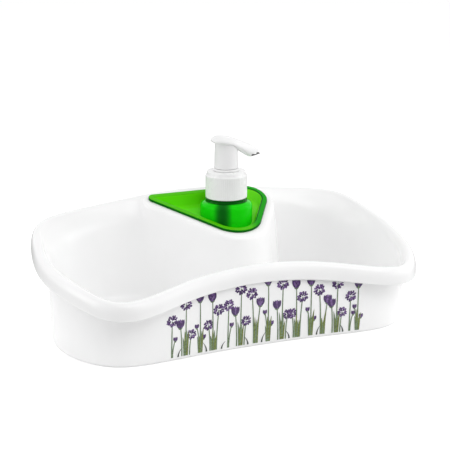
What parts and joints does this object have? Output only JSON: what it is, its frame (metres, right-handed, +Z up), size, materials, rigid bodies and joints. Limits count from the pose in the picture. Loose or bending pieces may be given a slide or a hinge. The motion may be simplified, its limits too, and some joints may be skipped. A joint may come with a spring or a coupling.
{
  "type": "dish soap holder",
  "caption": "Sink-side tray with open basins for sponges, a lift-out soap tank under a clear green cover, and a screw-on lotion pump whose head is locked down.",
  "frame": {"origin": "centre of the footprint of the whole object, on the surface it rests on", "axes": "+X along the tray's length, towards the side that the nozzle points to; -Y out of the front wall; +Z up"},
  "size_m": [0.291, 0.1676, 0.135],
  "materials": {
    "tray_plastic": "glossy injection-moulded white",
    "pump_plastic": "smooth white polypropylene",
    "clear_green": "clear tinted green, polished",
    "natural_plastic": "uncoloured translucent polypropylene",
    "seal": "soft foamed washer",
    "spring_steel": "drawn stainless wire",
    "valve_ball": "polished ball"
  },
  "bodies": {
    "tray": {"tray": "tray_plastic"},
    "tank": {"soap_tank": "clear_green", "tank_cover": "clear_green"},
    "pump_base": {"pump_housing": "natural_plastic", "neck_seal": "seal", "lock_ring": "pump_plastic", "ball_cage": "natural_plastic", "dip_tube": "natural_plastic"},
    "collar": {"collar": "pump_plastic"},
    "plunger": {"piston": "natural_plastic", "pump_spring": "spring_steel"},
    "head": {"pump_head": "pump_plastic", "pump_stem": "pump_plastic"},
    "inlet_ball": {"inlet_ball": "valve_ball"},
    "outlet_ball": {"outlet_ball": "valve_ball"}
  },
  "joints": [
    {"name": "tank_lift", "type": "slide", "parent": "tray", "child": "tank", "axis": [0, 0, 1], "range_m": [0, 0.1]},
    {"name": "pump_rise", "type": "slide", "parent": "tank", "child": "pump_base", "axis": [0, 0, 1], "range_m": [0, 0.00635]},
    {"name": "collar_turn", "type": "hinge", "parent": "pump_base", "child": "collar", "pos_m": [0.021, 0.046, 0.085], "axis": [0, 0, 1], "range_deg": [0, 540]},
    {"name": "head_rise", "type": "slide", "parent": "pump_base", "child": "plunger", "axis": [0, 0, 1], "range_m": [0, 0.018], "stiffness_N_per_m": 200, "springref_m": 0.03, "deforming": ["pump_spring"]},
    {"name": "head_turn", "type": "hinge", "parent": "plunger", "child": "head", "pos_m": [0.021, 0.046, 0.1], "axis": [0, 0, 1], "continuous": true},
    {"name": "inlet_ball_lift", "type": "slide", "parent": "pump_base", "child": "inlet_ball", "axis": [0, 0, 1], "range_m": [0, 0.002]},
    {"name": "outlet_ball_lift", "type": "slide", "parent": "head", "child": "outlet_ball", "axis": [0, 0, 1], "range_m": [0, 0.001]}
  ],
  "couplings": [
    {"joint": "pump_rise", "follows": "collar_turn", "m_per_rad": 0.00067323}
  ]
}
